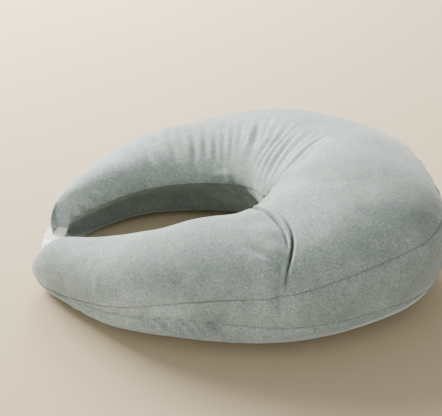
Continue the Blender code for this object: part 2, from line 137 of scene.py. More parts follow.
# ---------------------------------------------------------------- creases and puckers
# A crease runs through places on a panel: the section number, the share of the panel's width
# and the depth in millimetres. Its trough has a half width in metres, and a lip on its left and
# on its right, as shares of the depth.
Crease = namedtuple("Crease", "panel path width left right", defaults=(0.3, 0.4))
CREASES = (
    # the deep fold where the near arm's rounded end meets the back: two lines and a thin ridge
    Crease("top", ((3.48, 0.975, 2.2), (3.45, 0.92, 5.2), (3.39, 0.82, 6.0), (3.33, 0.72, 6.2),
                   (3.29, 0.62, 6.2), (3.29, 0.52, 6.0), (3.28, 0.42, 5.2), (3.25, 0.34, 3.4),
                   (3.20, 0.27, 0.8)), 0.0015, 0.20, 0.0),
    Crease("top", ((3.435, 0.51, 0.3), (3.42, 0.46, 2.4), (3.40, 0.41, 4.2), (3.36, 0.35, 5.0),
                   (3.29, 0.29, 5.4), (3.22, 0.24, 5.2), (3.15, 0.19, 4.8), (3.09, 0.14, 4.0),
                   (3.04, 0.07, 2.2), (3.00, 0.0, 0.8)), 0.0014, 0.10, 0.0),
    Crease("top", ((3.40, 0.88, 0.6), (3.30, 0.70, 1.6), (3.26, 0.52, 2.2), (3.22, 0.38, 2.4),
                   (3.17, 0.26, 2.4), (3.08, 0.16, 2.0), (3.00, 0.06, 0.6)), 0.0080, 0.0, 0.0),
    # small folds that run from it into the near arm
    Crease("top", ((2.66, 0.35, 0.3), (2.78, 0.30, 1.8), (2.90, 0.25, 2.8), (3.04, 0.19, 3.0)),
           0.0046, 0.20, 0.55),
    Crease("top", ((2.78, 0.225, 0.3), (2.88, 0.20, 1.6), (3.02, 0.165, 1.6)), 0.0030, 0.2, 0.4),
    Crease("top", ((2.83, 0.15, 0.4), (2.92, 0.14, 1.5), (3.02, 0.145, 1.2)), 0.0030, 0.2, 0.3),
    Crease("top", ((3.00, 0.14, 0.4), (2.98, 0.07, 2.2), (2.95, 0.0, 2.8)), 0.0060, 0.1, 0.45),
    Crease("outer", ((2.95, 1.0, 2.4), (2.95, 0.7, 2.6), (2.95, 0.35, 0.5)), 0.0070, 0.2, 0.4),
    # puckers of the far arm, which fan out from the hole
    Crease("top", ((8.93, 0.40, 0.2), (8.90, 0.47, 1.8), (8.87, 0.54, 4.2), (8.83, 0.62, 4.0),
                   (8.82, 0.70, 1.8), (8.82, 0.77, 0.3)), 0.0044, 0.25, 0.62),
    Crease("top", ((8.74, 0.38, 0.3), (8.68, 0.47, 1.6), (8.63, 0.57, 1.4), (8.60, 0.66, 0.3)),
           0.0036),
    Crease("top", ((8.52, 0.42, 0.3), (8.44, 0.52, 1.8), (8.38, 0.61, 1.2), (8.34, 0.70, 0.3)),
           0.0036),
    Crease("top", ((8.22, 0.44, 0.3), (8.15, 0.53, 2.2), (8.12, 0.62, 3.0), (8.16, 0.71, 2.0),
                   (8.22, 0.79, 1.8), (8.24, 0.87, 0.4)), 0.0038, 0.30, 0.48),
    Crease("top", ((8.33, 0.58, 0.4), (8.38, 0.67, 2.4), (8.44, 0.77, 1.4), (8.47, 0.85, 0.3)),
           0.0036),
    Crease("top", ((8.02, 0.42, 0.3), (7.93, 0.53, 1.6), (7.90, 0.64, 2.2), (7.88, 0.76, 2.0),
                   (7.80, 0.86, 0.5)), 0.0034),
    Crease("top", ((7.86, 0.46, 0.2), (7.74, 0.57, 1.7), (7.60, 0.69, 2.5), (7.42, 0.80, 2.2),
                   (7.16, 0.90, 0.4)), 0.0036, 0.35, 0.42),
    Crease("top", ((7.56, 0.46, 0.2), (7.42, 0.57, 1.1), (7.26, 0.68, 1.5), (7.02, 0.78, 1.2),
                   (6.72, 0.87, 0.2)), 0.0036, 0.3, 0.3),
    Crease("top", ((7.32, 0.47, 0.2), (7.20, 0.56, 1.0), (7.06, 0.65, 1.2), (6.84, 0.74, 0.2)),
           0.0032, 0.3, 0.3),
    Crease("top", ((7.14, 0.46, 0.3), (7.04, 0.54, 1.7), (6.94, 0.61, 2.7), (6.70, 0.68, 3.0),
                   (6.40, 0.74, 2.3), (6.10, 0.80, 0.9), (5.80, 0.86, 0.2)), 0.0025, 0.25, 0.45),
    Crease("top", ((6.86, 0.56, 0.2), (6.58, 0.64, 1.0), (6.20, 0.70, 0.9), (5.80, 0.76, 0.2)),
           0.0050, 0.2, 0.3),
    Crease("top", ((9.08, 0.44, 0.3), (9.07, 0.54, 1.9), (9.08, 0.64, 1.6), (9.10, 0.72, 0.3)),
           0.0034),
    Crease("top", ((9.24, 0.42, 0.3), (9.22, 0.53, 2.2), (9.22, 0.64, 2.4), (9.22, 0.76, 0.4)),
           0.0036, 0.3, 0.5),
    Crease("top", ((9.40, 0.46, 0.4), (9.38, 0.57, 2.3), (9.37, 0.68, 2.5), (9.37, 0.80, 0.4)),
           0.0034, 0.3, 0.5),
    Crease("top", ((9.56, 0.42, 0.3), (9.55, 0.54, 1.6), (9.54, 0.66, 2.4), (9.52, 0.79, 0.4)),
           0.0034),
    Crease("top", ((9.70, 0.50, 0.3), (9.70, 0.62, 1.9), (9.70, 0.74, 1.8), (9.69, 0.83, 0.3)),
           0.0032),
    Crease("top", ((9.88, 0.40, 0.3), (9.87, 0.52, 1.5), (9.87, 0.64, 2.2), (9.88, 0.76, 0.4)),
           0.0034),
    Crease("top", ((10.06, 0.48, 0.4), (10.06, 0.60, 2.2), (10.07, 0.72, 2.6), (10.09, 0.84, 0.4)),
           0.0036, 0.3, 0.5),
    Crease("top", ((10.24, 0.40, 0.3), (10.23, 0.52, 1.6), (10.22, 0.66, 0.3)), 0.0034),
    Crease("top", ((10.40, 0.42, 0.3), (10.38, 0.54, 2.2), (10.36, 0.68, 1.8), (10.35, 0.80, 0.3)),
           0.0038),
    Crease("top", ((10.74, 0.54, 0.3), (10.71, 0.67, 1.8), (10.69, 0.80, 0.4)), 0.0042, 0.3, 0.3),
    # diagonal ridges of the hole's wall
    Crease("inner", ((10.40, 0.40, 0.7), (10.38, 0.70, 3.4), (10.38, 0.98, 1.7)),
           0.0051, 0.2, 0.3),
    Crease("inner", ((10.24, 0.36, 0.7), (10.25, 0.70, 4.2), (10.28, 0.98, 1.7)),
           0.0056, 0.2, 0.3),
    Crease("inner", ((10.02, 0.45, 0.5), (9.78, 0.72, 4.9), (9.60, 0.93, 1.7)), 0.0061, 0.2, 0.3),
    Crease("inner", ((9.62, 0.20, 0.7), (9.25, 0.45, 5.9), (8.85, 0.66, 2.4)), 0.0068, 0.2, 0.3),
    Crease("inner", ((9.25, 0.12, 0.7), (8.82, 0.30, 5.9), (8.38, 0.48, 4.2), (8.0, 0.62, 0.7)),
           0.0068, 0.2, 0.3),
    Crease("inner", ((8.80, 0.10, 0.5), (8.50, 0.30, 3.4), (8.20, 0.50, 1.0)), 0.0059, 0.2, 0.3),
    Crease("inner", ((8.40, 0.10, 0.5), (8.10, 0.30, 2.6), (7.85, 0.50, 0.7)), 0.0059, 0.2, 0.3),
    Crease("inner", ((2.6, 0.15, 0.5), (2.3, 0.45, 3.1), (2.1, 0.75, 0.7)), 0.0065, 0.2, 0.3),
    # diagonal puckers under the near arm's lower seam
    Crease("bottom", ((0.92, 1.0, 1.0), (0.98, 0.94, 2.8), (1.06, 0.88, 0.4)), 0.0030, 0.4, 0.5),
    Crease("bottom", ((1.10, 1.0, 1.2), (1.18, 0.94, 3.2), (1.26, 0.88, 0.5)), 0.0030, 0.4, 0.5),
    Crease("bottom", ((1.40, 1.0, 1.4), (1.48, 0.95, 3.6), (1.58, 0.90, 2.6), (1.66, 0.86, 0.6)),
           0.0030, 0.35, 0.85),
    Crease("bottom", ((1.58, 1.0, 1.6), (1.66, 0.95, 4.8), (1.75, 0.90, 4.2), (1.84, 0.86, 0.8)),
           0.0029, 0.35, 1.0),
    Crease("bottom", ((1.70, 1.0, 1.8), (1.80, 0.95, 5.6), (1.90, 0.89, 5.0), (2.00, 0.85, 0.8)),
           0.0029, 0.35, 1.0),
    Crease("bottom", ((1.82, 1.0, 1.8), (1.92, 0.95, 5.6), (2.02, 0.89, 5.0), (2.11, 0.85, 0.8)),
           0.0029, 0.35, 1.0),
    Crease("bottom", ((1.95, 1.0, 1.4), (2.04, 0.95, 4.4), (2.12, 0.90, 3.6), (2.20, 0.86, 0.8)),
           0.0029, 0.35, 0.85),
    Crease("bottom", ((2.18, 1.0, 1.4), (2.27, 0.95, 4.8), (2.39, 0.89, 5.2), (2.52, 0.84, 0.8)),
           0.0031, 0.35, 1.0),
    Crease("bottom", ((2.32, 0.98, 1.0), (2.41, 0.93, 3.8), (2.51, 0.88, 3.0), (2.60, 0.85, 0.5)),
           0.0031, 0.35, 0.85),
    Crease("bottom", ((0.55, 0.96, 1.2), (0.60, 0.88, 2.6), (0.64, 0.82, 0.4)), 0.0030, 0.4, 0.4),
    Crease("bottom", ((0.68, 0.97, 1.2), (0.76, 0.90, 2.6), (0.84, 0.84, 0.4)), 0.0030, 0.4, 0.4),
    Crease("outer", ((2.20, 0.05, 1.0), (2.30, 0.30, 1.8), (2.42, 0.55, 0.4)), 0.0050, 0.4, 0.4),
    Crease("outer", ((1.30, 0.10, 0.8), (1.42, 0.50, 1.4), (1.55, 0.9, 0.6)), 0.0050, 0.4, 0.4),
    # soft marks by the two tips
    Crease("top", ((0.85, 0.34, 0.2), (0.88, 0.18, -0.8), (0.88, 0.02, -0.3)), 0.0034, 0.0, 0.6),
    Crease("outer", ((0.30, 0.9, 0.3), (0.42, 0.5, 1.4), (0.52, 0.1, 0.4)), 0.0030, 0.4, 0.4),
    Crease("top", ((11.66, 0.80, 0.3), (11.62, 0.86, 2.4), (11.55, 0.97, 1.4)), 0.0034, 0.4, 0.5),
    Crease("top", ((11.84, 0.86, 0.3), (11.78, 0.95, 2.2), (11.70, 1.0, 0.8)), 0.0030, 0.5, 0.4),
    Crease("top", ((11.95, 0.88, 0.3), (11.93, 0.96, 2.2), (11.90, 1.0, 1.2)), 0.0026, 0.5, 0.4),
)
LIP_PLACE = 2.0             # middle of a lip, in half widths of the trough
LIP_SPREAD = 1.25
TROUGH_POWER = 1.5
CREASE_STEPS = 5            # straight pieces between two places of a crease
CREASE_MARGIN = 75.0        # sections changed past its ends, for each metre from trough to lip

# A crease with a narrow trough gets painted shade: a dark line along the fold, where shade falls
# in it
SHADE_LINE_WIDTH = 0.0020         # troughs of a smaller half width have one
SHADE_LINE_FULL = 0.0035          # depth at which it is darkest
SHADE_LINE_STRENGTH = 1.9         # how dark it is against the line of a seam
SHADE_LINE_REACH = 0.0017         # its half width
SHADE_LINE_LEAN = 0.0008          # it lies this far to the right of the trough's middle

# Broad swells: place, height in millimetres and reach
Swell = namedtuple("Swell", "panel section across height reach")
SWELLS = (
    Swell("top", 3.08, 0.60, 3.2, 0.017),     # the near arm's rounded end, beside the deep fold
    Swell("top", 3.04, 0.42, 3.2, 0.017),
    Swell("top", 2.98, 0.26, 2.2, 0.016),
    Swell("top", 3.16, 0.80, 2.6, 0.014),
    Swell("top", 3.62, 0.45, 1.0, 0.020),
    Swell("top", 3.58, 0.22, 1.0, 0.018),
    Swell("top", 1.65, 0.80, -2.0, 0.024),    # the dip in the near arm's inner edge
    Swell("outer", 2.10, 0.45, 1.6, 0.026),
    Swell("outer", 1.35, 0.50, 1.0, 0.020),
    Swell("inner", 9.6, 0.45, 1.4, 0.022),
)

# Where the pile is brushed paler or darker, and painted light and shade in patches: place, tone
# and reach
Patch = namedtuple("Patch", "panel section across tone reach")
PILE_AND_LIGHT_PATCHES = (
    Patch("top", 7.00, 0.62, 0.42, 0.040),
    Patch("top", 9.80, 0.72, -0.14, 0.024),
    Patch("top", 8.60, 0.50, 0.10, 0.030),
    Patch("top", 7.10, 0.20, -0.12, 0.040),
    Patch("top", 6.10, 0.22, -0.20, 0.060),
    Patch("top", 5.35, 0.40, -0.10, 0.050),
    Patch("top", 11.80, 0.76, 0.38, 0.030),
    Patch("top", 11.10, 0.46, 0.38, 0.050),
    Patch("top", 10.00, 0.90, 0.20, 0.034),
    Patch("top", 3.95, 0.50, 0.12, 0.045),
    Patch("top", 3.70, 0.24, 0.18, 0.035),
    Patch("top", 2.80, 0.52, -0.20, 0.035),
    Patch("top", 1.65, 0.44, -0.20, 0.045),
    Patch("top", 1.25, 0.12, 0.22, 0.035),
    Patch("outer", 1.65, 0.55, 0.36, 0.026),
    Patch("outer", 2.28, 0.15, -0.14, 0.026),
    Patch("inner", 9.00, 0.50, 0.24, 0.040),
)

# Seams: a fine groove, the soft pull of the filling beside it, and puckers along it
GROOVE_DEPTH = 0.0013
GROOVE_REACH = 0.0010
GROOVE_AT_TIP = 0.4         # share of its depth that is left at the end seam
PULL_DEPTH = 0.0016
PULL_REACH = 0.0100
PULL_POWER = 1.3
WALL_HOLLOW = 0.010         # how far the hole's wall is drawn in between its two seams
WALL_POWER = 0.8
SEAM_LINE = 0.0008          # half width of the dark line between two panels
PUCKER_SEED = 4711
PUCKER_SPACING = 0.0155     # average distance between puckers along a seam
PUCKER_HEIGHT = 0.00075
PUCKER_WIDTHS = (0.0024, 0.0050)
PUCKER_REACHES = (0.007, 0.019)
PUCKER_SLANT = 0.5
PUCKER_RISE = 5             # it rises from the seam in one part in this many of its reach
PUCKER_FADE = 1.5

# Unevenness of the filling: size of the lumps and height
LUMPS = ((0.075, 0.0016), (0.034, 0.00055), (0.013, 0.00014))

# Cloth corners that stick out past the end seams: which end, place along the end seam in half
# lengths, size and reach
Corner = namedtuple("Corner", "far side size reach")
CORNERS = (Corner(True, 0.54, 0.0125, 0.0021), Corner(True, -1.0, 0.0010, 0.0040),
           Corner(False, 1.0, 0.0012, 0.0040), Corner(False, -1.0, 0.0010, 0.0040))
CORNER_LENGTH = 0.008       # how far back into the arm their pull reaches

# ---------------------------------------------------------------- the strap
STRAP_THICKNESS = 0.0014
STRAP_TUCK = 0.0016         # how far its ends run into the end seams
STRAP_INNER_SHARE = 0.96    # how far its ends reach along the end seams, in half lengths
STRAP_NEAR_SHARE = 0.20
STRAP_FAR_SHARE = 0.80
STRAP_INNER_LEAD = 0.008    # how far each edge keeps on straight out of its end seam
STRAP_NEAR_LEAD = 0.006     # the same for the slack outer edge, by either tip
STRAP_FAR_LEAD = 0.012
STRAP_FAR_FLARE = 0.019     # how far this edge swings sideways by the far tip
STRAP_SAG_INNER = 0.002
STRAP_SAG_OUTER = 0.006
STRAP_ROWS = 110
STRAP_COLUMNS = 30
STRAP_EASE = 0.7            # how soon past its ends it cups, ripples and folds
STRAP_CUP = 0.0012          # its middle lies this much lower than its edges
STRAP_RIPPLE = 0.00075      # the slack inner edge ripples
STRAP_WAVES = ((1.0, 4.6, 0.1), (0.6, 7.3, 0.4))    # share, turns and start of each wave
STRAP_FOLD = 0.0013         # one small fold across it: a ridge and a trough
STRAP_FOLDS = ((1, 0.52, 0.10, 0.035), (-1, 0.62, 0.08, 0.04))  # side, place, slant, spread

# ---------------------------------------------------------------- camera and light
# Fitted to the cushion's outline, seams and hole in the photo, in metres and degrees
TARGET = (-0.0199, -0.0004, 0.06)
DISTANCE = 1.2142
AZIMUTH = 0.10
ELEVATION = 33.03
FOCAL_PIXELS = 1000.4
PHOTO_WIDTH = 442
SENSOR = 36.0

# Area lights: place, side length, power and colour
Lamp = namedtuple("Lamp", "name place size power colour")
LAMPS = (
    Lamp("window", (-1.45, 1.35, 1.15), 1.1, 204.0, (1.0, 0.985, 0.95)),
    Lamp("back", (-0.3, 1.7, 1.1), 1.0, 98.0, (1.0, 0.98, 0.94)),
    Lamp("front", (-1.1, -2.2, 0.30), 0.55, 38.0, (1.0, 0.985, 0.96)),
)
ROOM_COLOUR = (0.93, 0.92, 0.90)
ROOM_STRENGTH = 0.86
FLOOR_SIZE = 9.0
FLOOR_COLOUR = (0.435, 0.350, 0.232)

# ---------------------------------------------------------------- colours
VELVET_SHADE = (0.108, 0.134, 0.123)
VELVET_MIDDLE = (0.178, 0.217, 0.200)
VELVET_LIGHT = (0.292, 0.340, 0.320)
# Dark seam lines, also used as painted shade in narrow creases and on the hole's wall
VELVET_SEAM_AND_SHADE = (0.062, 0.072, 0.066)
WALL_PAINTED_SHADE = 0.52          # painted shade: how far the hole's wall is mixed towards the dark seam colour, as shade falls in the hole
ELASTIC_LIGHT = (0.97, 0.965, 0.95)
ELASTIC_SHADE = (0.86, 0.85, 0.83)
RIBS = 5.4                  # how close its ribs lie, and its wefts
WEFTS = 26.0

# Grains of the pile and of the elastic's threads: size in metres, how detailed and rough the
# noise is, and how much it changes the tone
Grain = namedtuple("Grain", "size detail roughness tone")
CLOUDS = Grain(0.060, 3.0, 0.55, 0.26)      # where the pile lies over
BRUSHED = Grain(0.016, 3.0, 0.60, 0.16)
FLECKS = Grain(0.0022, 2.0, 0.70, 1.45)
PILE = Grain(0.0011, 2.0, 0.75, 0.80)
FUZZ = Grain(0.0011, 2.0, 0.60, 0.40)


def spline(places):
    """Read the section table at any places along it, by a natural cubic through its rows."""
    rows = np.array(SECTIONS, float)
    count = len(rows)
    system = np.eye(count)
    known = np.zeros_like(rows)
    for i in range(1, count - 1):
        system[i, i - 1:i + 2] = 1, 4, 1
        known[i] = 6 * (rows[i + 1] - 2 * rows[i] + rows[i - 1])
    bend = np.linalg.solve(system, known)
    i = np.clip(np.floor(places).astype(int), 0, count - 2)
    t = (places - i)[:, None]
    s = 1 - t
    curve = s * rows[i] + t * rows[i + 1]
    return curve + ((s ** 3 - s) * bend[i] + (t ** 3 - t) * bend[i + 1]) / 6


def travel():
    """Places along the table, and the length of the middle line up to each of them."""
    places = np.linspace(0, LAST, TRAVEL_STEPS + 1)
    rows = spline(places)
    middle = (rows[:, :2] + rows[:, 2:4]) / 2
    steps = np.linalg.norm(np.diff(middle, axis=0), axis=1)
    return places, np.concatenate([[0], np.cumsum(steps)])


def closing(places, stretch=TIP_LENGTH):
    """How far the arm is open at each place: 1 along the arm, 0 at the end seam."""
    along, length = travel()
    here = np.interp(places, along, length)
    to_tip = np.minimum(here, length[-1] - here)
    closed = np.clip(1 - to_tip / stretch, 0, 1)
    return (1 - closed ** TIP_POWER) ** (1 / TIP_POWER)


def form(places, angles):
    """Points of the filled form: one row of angles round the section for each place."""
    rows = spline(places)
    crown = closing(places, TIP_CROWN)[:, None]
    wide = TIP_WIDTH + (1 - TIP_WIDTH) * closing(places)[:, None]
    tall = (TIP_HEIGHT + (1 - TIP_HEIGHT) * crown) * rows[:, 4:5]
    level = (TIP_SEAM_SHARE + (WIDEST_SHARE - TIP_SEAM_SHARE) * crown) * rows[:, 4:5]
    c, s = np.cos(angles), np.sin(angles)
    under = np.where(c >= 0, UNDERSIDE_POWER, rows[:, 5:6])
    power = np.where(s >= 0, CROWN_POWER, under)
    radius = (np.abs(c) ** power + np.abs(s) ** power) ** (-1 / power)
    c, s = c * radius, s * radius
    middle = (rows[:, :2] + rows[:, 2:4]) / 2
    half = (rows[:, :2] - rows[:, 2:4]) / 2
    plan = middle[:, None] + half[:, None] * (wide * c)[..., None]
    reach = np.where(s >= 0, 1 - WIDEST_SHARE, WIDEST_SHARE * FLATTENING)
    height = level + reach * tall * s
    return np.concatenate([plan, np.maximum(height, 0)[..., None]], axis=-1)


def seam_angle(share, side, foot=UNDERSIDE_POWER):
    """Angle round the section of a height share, on the outer (1) or the inner (-1) side."""
    reach = np.where(share >= WIDEST_SHARE, 1 - WIDEST_SHARE, WIDEST_SHARE * FLATTENING)
    up = (share - WIDEST_SHARE) / reach
    power = np.where(up >= 0, CROWN_POWER, foot)
    out = (1 - np.abs(up) ** power) ** (1 / power)
    angle = np.arctan2(up, side * out)
    return np.mod(angle, 2 * pi) if side < 0 else angle


def panel_edges(places):
    """First and last angle of each panel, in the order round the section."""
    swell = np.sin(pi * places / LAST)
    middle = BAND_MIDDLE_AT_TIP + (BAND_MIDDLE - BAND_MIDDLE_AT_TIP) * np.tanh(swell / BAND_RISE)
    half = BAND_HALF_AT_TIP + BAND_HALF * swell ** BAND_TAPER
    drop = (INNER_SEAM_LOWER_AT_TIP - INNER_SEAM_LOWER) * swell ** INNER_SEAM_POWER
    outer_upper = seam_angle(middle + half - BAND_BACK_DROP * swell ** BAND_BACK_POWER, 1)
    outer_lower = seam_angle(middle - half, 1)
    inner_upper = seam_angle(INNER_SEAM_UPPER + 0 * swell, -1)
    inner_lower = seam_angle(INNER_SEAM_LOWER_AT_TIP - drop, -1, spline(places)[:, 5])
    return {
        "top": (outer_upper, inner_upper),
        "inner": (inner_upper, inner_lower),
        "bottom": (inner_lower, outer_lower + 2 * pi),
        "outer": (outer_lower, outer_upper),
    }


def row_places(count, tip_rows):
    """Places of the rings: closer in the rounded tips and where CLOSER_ROWS says."""
    along, length = travel()
    turn = np.linspace(0, pi / 2, tip_rows + 1)[:-1]
    tip = TIP_LENGTH * (1 - np.cos(turn))
    near = np.interp(tip, length, along)
    far = np.interp(length[-1] - tip, length, along)[::-1]
    dense = np.ones(len(along))
    for place, spread, more in CLOSER_ROWS:
        dense += more * np.exp(-((along - place) / spread) ** 2)
    weight = np.concatenate([[0], np.cumsum(dense[1:] * np.diff(length))])
    stops = np.interp([TIP_LENGTH, length[-1] - TIP_LENGTH], length, weight)
    return np.concatenate([near, np.interp(np.linspace(*stops, count), weight, along), far])


# A grid of rings: the place of each ring, its points, the panel and the share of the panel's
# width of each column, and the width of each panel at each ring
Grid = namedtuple("Grid", "places points panels shares widths")


def make_grid(places, columns):
    """The plain form as a grid, its columns spaced by real length and closer by the seams."""
    points, panels, shares, widths = [], [], [], []
    trial = np.linspace(0, 1, PANEL_STEPS + 1)
    for number, (name, count) in enumerate(zip(PANEL_NAMES, columns)):
        first, last = panel_edges(places)[name]
        angles = first[:, None] + (last - first)[:, None] * trial
        steps = np.linalg.norm(np.diff(form(places, angles), axis=1), axis=2)
        length = np.concatenate([np.zeros((len(places), 1)), np.cumsum(steps, axis=1)], axis=1)
        t = np.arange(count) / count
        share = t - SEAM_CLOSENESS * np.sin(2 * pi * t) / (2 * pi)
        placed = [np.interp(share * run[-1], run, row) for run, row in zip(length, angles)]
        points.append(form(places, np.array(placed)))
        panels += [number] * count
        shares.append(share)
        widths.append(length[:, -1])
    return Grid(places, np.concatenate(points, axis=1), np.array(panels),
                np.concatenate(shares), np.array(widths).T)


def normals(points):
    """Outward direction at each point of the closed grid of rings."""
    along = np.gradient(points, axis=0)
    across = np.roll(points, -1, axis=1) - np.roll(points, 1, axis=1)
    out = np.cross(along, across)
    return out / np.maximum(np.linalg.norm(out, axis=2, keepdims=True), 1e-9)


def place_on_panel(panel, section, across):
    """A point of the form, from a section number and a share of a panel's width."""
    place = np.array([section], float)
    first, last = panel_edges(place)[panel]
    return form(place, (first + (last - first) * across)[:, None])[0, 0]


def smooth_path(rows):
    """Rows of numbers joined by a smooth curve through them, as more rows."""
    rows = np.array(rows, float)
    ends = np.vstack([2 * rows[0] - rows[1], rows, 2 * rows[-1] - rows[-2]])
    curve = []
    for before, here, there, after in zip(ends, ends[1:], ends[2:], ends[3:]):
        for t in np.arange(CREASE_STEPS) / CREASE_STEPS:
            bend = (2 * before - 5 * here + 4 * there - after) * t * t
            twist = (3 * here - 3 * there + after - before) * t ** 3
            curve.append((2 * here + (there - before) * t + bend + twist) / 2)
    return np.array(curve + [rows[-1]])


def side_of_run(points, out, run, depths):
    """Signed distance to a run, positive on its right-hand side, and the depth beside it."""
    nearest = np.full(points.shape[:2], np.inf)
    gap = np.zeros_like(nearest)
    deep = np.zeros_like(nearest)
    for a, b, first, last in zip(run[:-1], run[1:], depths[:-1], depths[1:]):
        line = b - a
        t = np.clip(((points - a) @ line) / (line @ line), 0, 1)
        offset = points - a - t[..., None] * line
        distance = np.linalg.norm(offset, axis=2)
        closer = distance < nearest
        side = np.sign(np.einsum("ijk,ijk->ij", np.cross(line, out), offset))
        gap = np.where(closer, distance * np.where(side < 0, -1, 1), gap)
        deep = np.where(closer, first + (last - first) * t, deep)
        nearest = np.where(closer, distance, nearest)
    return gap, deep


def crease_relief(grid, out, crease):
    """The rows that a crease touches, how far it raises or lowers them, and its painted shade
    line.
    """
    path = smooth_path(crease.path)
    run = np.array([place_on_panel(crease.panel, *row[:2]) for row in path])
    reach = LIP_PLACE * crease.width * CREASE_MARGIN
    low, high = path[:, 0].min() - reach, path[:, 0].max() + reach
    rows = slice(*np.searchsorted(grid.places, [low, high]))
    gap, deep = side_of_run(grid.points[rows], out[rows], run, path[:, 2] / 1000)
    across = gap / crease.width
    trough = np.exp(-np.abs(across) ** TROUGH_POWER)
    lips = crease.left * np.exp(-((across + LIP_PLACE) / LIP_SPREAD) ** 2)
    lips += crease.right * np.exp(-((across - LIP_PLACE) / LIP_SPREAD) ** 2)
    # Painted shade: a dark line along a narrow, deep trough
    off = (gap - SHADE_LINE_LEAN) / SHADE_LINE_REACH
    line = SHADE_LINE_STRENGTH * np.clip(deep / SHADE_LINE_FULL, 0, 1) * np.exp(-off ** 2)
    return rows, deep * (lips - trough), line * (crease.width < SHADE_LINE_WIDTH)


def swell_relief(grid, swell):
    """How far one broad swell raises the cloth."""
    middle = place_on_panel(swell.panel, swell.section, swell.across)
    distance = np.linalg.norm(grid.points - middle, axis=2)
    return swell.height / 1000 * np.exp(-(distance / swell.reach) ** 2)


def brushed_tone_and_painted_light(grid):
    """How much paler or darker the pile looks at each point, by the way it is brushed and by
    painted light and shade.
    """
    tone = np.zeros(grid.points.shape[:2])
    for patch in PILE_AND_LIGHT_PATCHES:
        middle = place_on_panel(patch.panel, patch.section, patch.across)
        distance = np.linalg.norm(grid.points - middle, axis=2)
        tone += patch.tone * np.exp(-(distance / patch.reach) ** 2)
    return tone


def wall_relief(grid):
    """The wall of the hole, drawn in under the top panel, which bulges over it."""
    depth = np.sin(pi * grid.shares) ** WALL_POWER * (grid.panels == PANEL_NAMES.index("inner"))
    return -WALL_HOLLOW * depth * closing(grid.places)[:, None]


def lump_relief(points):
    """Uneven filling, as noise of a few sizes."""
    relief = np.zeros(points.shape[:2])
    for size, height in LUMPS:
        flat = [noise.noise(Vector(p)) for p in points.reshape(-1, 3) / size]
        relief += height * np.array(flat).reshape(relief.shape)
    return relief


def seam_distances(grid):
    """Distance of each point to the seam that starts its panel and to the one that ends it."""
    width = grid.widths[:, grid.panels]
    return grid.shares * width, (1 - grid.shares) * width


def seam_relief(grid):
    """The grooves of the seams, the pull beside them, and how near each point is to a seam."""
    nearest = np.minimum(*seam_distances(grid))
    opened = closing(grid.places)[:, None]
    groove = GROOVE_DEPTH * np.exp(-nearest / GROOVE_REACH)
    pull = PULL_DEPTH * np.exp(-(nearest / PULL_REACH) ** PULL_POWER)
    groove *= GROOVE_AT_TIP + (1 - GROOVE_AT_TIP) * opened
    return -(groove + pull * opened), np.exp(-(nearest / SEAM_LINE) ** 2)


def pucker_relief(grid, along):
    """Small uneven ripples that run out from each seam into the two panels beside it."""
    chance = np.random.default_rng(PUCKER_SEED)
    start, end = seam_distances(grid)
    relief = np.zeros(start.shape)
    sides = ((start, 0), (end, 1))
    for number in range(len(PANEL_NAMES)):
        columns = grid.panels == number
        for distance, is_end in sides:
            seam = (number + is_end) % len(PANEL_NAMES)
            column = np.flatnonzero(grid.panels == seam)[0]
            length = along[:, column]
            for _ in range(int(length[-1] / PUCKER_SPACING)):
                middle = chance.uniform(0, length[-1])
                width = chance.uniform(*PUCKER_WIDTHS)
                reach = chance.uniform(*PUCKER_REACHES)
                height = PUCKER_HEIGHT * chance.normal()
                slant = chance.uniform(-PUCKER_SLANT, PUCKER_SLANT)
                place = length[:, None] - middle - slant * distance[:, columns]
                away = distance[:, columns] / reach
                ripple = np.exp(-(place / width) ** 2 - away ** PUCKER_FADE)
                relief[:, columns] += height * ripple * np.minimum(away * PUCKER_RISE, 1)
    return relief * closing(grid.places)[:, None]


def make_mesh_object(name, points, faces):
    """Link a mesh made of points and faces."""
    mesh = bpy.data.meshes.new(name)
    mesh.from_pydata(points.tolist(), [], faces)
    mesh.update()
    obj = bpy.data.objects.new(name, mesh)
    bpy.context.scene.collection.objects.link(obj)
    return obj


def ring_faces(rows, columns):
    """Faces of a closed grid of rings, with a fan to one extra point at either end."""
    faces = []
    for i in range(rows - 1):
        for j in range(columns):
            k = (j + 1) % columns
            faces.append((i * columns + j, i * columns + k,
                          (i + 1) * columns + k, (i + 1) * columns + j))
    first, last = rows * columns, rows * columns + 1
    for j in range(columns):
        k = (j + 1) % columns
        faces.append((k, j, first))
        faces.append(((rows - 1) * columns + j, (rows - 1) * columns + k, last))
    return faces


def blur(field, passes):
    """Even out a field over the grid: open along the rows, closed round the rings."""
    for _ in range(passes):
        padded = np.concatenate([field[:1], field, field[-1:]])
        field = (padded[:-2] + 2 * field + padded[2:]) / 4
        field = (np.roll(field, 1, axis=1) + 2 * field + np.roll(field, -1, axis=1)) / 4
    return field


